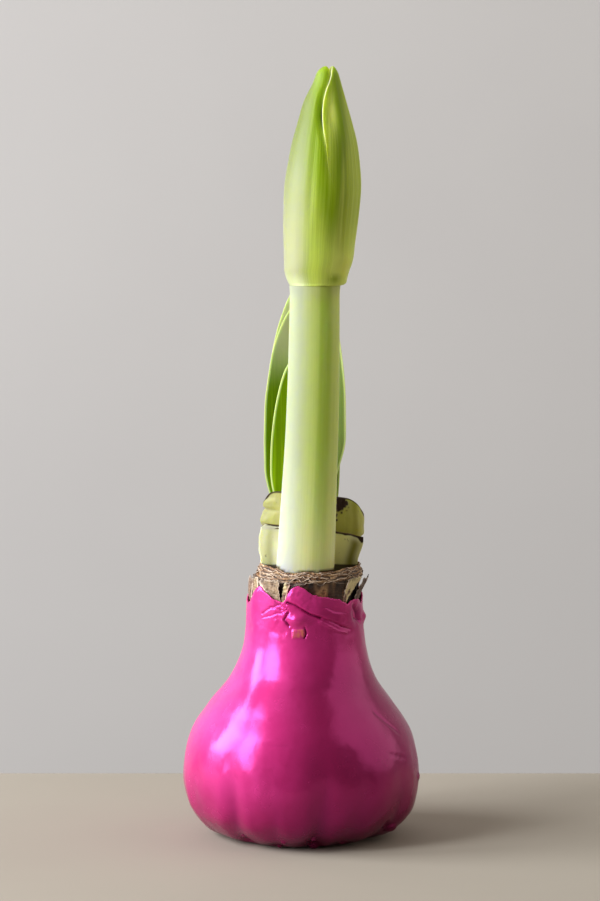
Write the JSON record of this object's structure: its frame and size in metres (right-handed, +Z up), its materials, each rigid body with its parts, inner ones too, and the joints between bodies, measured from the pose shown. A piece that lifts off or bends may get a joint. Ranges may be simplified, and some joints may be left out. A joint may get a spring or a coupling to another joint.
{
  "type": "waxed amaryllis bulb",
  "caption": "Amaryllis bulb in a coat of pink wax, standing on its own flat foot, with a thick stalk, a closed bud, young strap leaves, cut leaf stubs and papery tunics at its neck.",
  "frame": {"origin": "middle of the flat foot of the wax, at the level of the surface it stands on", "axes": "+Z up along the stalk, +X to the right, -Y the front, where the stalk stands before the leaves"},
  "size_m": [0.0904, 0.0904, 0.299],
  "materials": {
    "wax": "gloss",
    "bulb_scale": "satin",
    "tunic_paper": "matte",
    "stalk": "satin",
    "spathe": "satin",
    "leaf_stub": "satin",
    "leaf": "satin"
  },
  "bodies": {
    "root": {"wax_coat": "wax", "bulb": "bulb_scale", "neck_tunic": "tunic_paper", "tunic_flap_left": "tunic_paper", "tunic_flap_left_strip": "tunic_paper", "tunic_flap_front_left": "tunic_paper", "tunic_flap_front": "tunic_paper", "tunic_flap_front_right": "tunic_paper", "tunic_flap_right": "tunic_paper", "tunic_flap_back_right": "tunic_paper", "tunic_flap_back_left": "tunic_paper", "scape": "stalk", "spathe_valve_left": "spathe", "spathe_valve_right": "spathe", "leaf_stub_low": "leaf_stub", "leaf_stub_tall": "leaf_stub", "leaf_left_short": "leaf", "leaf_right": "leaf", "leaf_left_tall": "leaf", "leaf_rear": "leaf"}
  },
  "joints": []
}
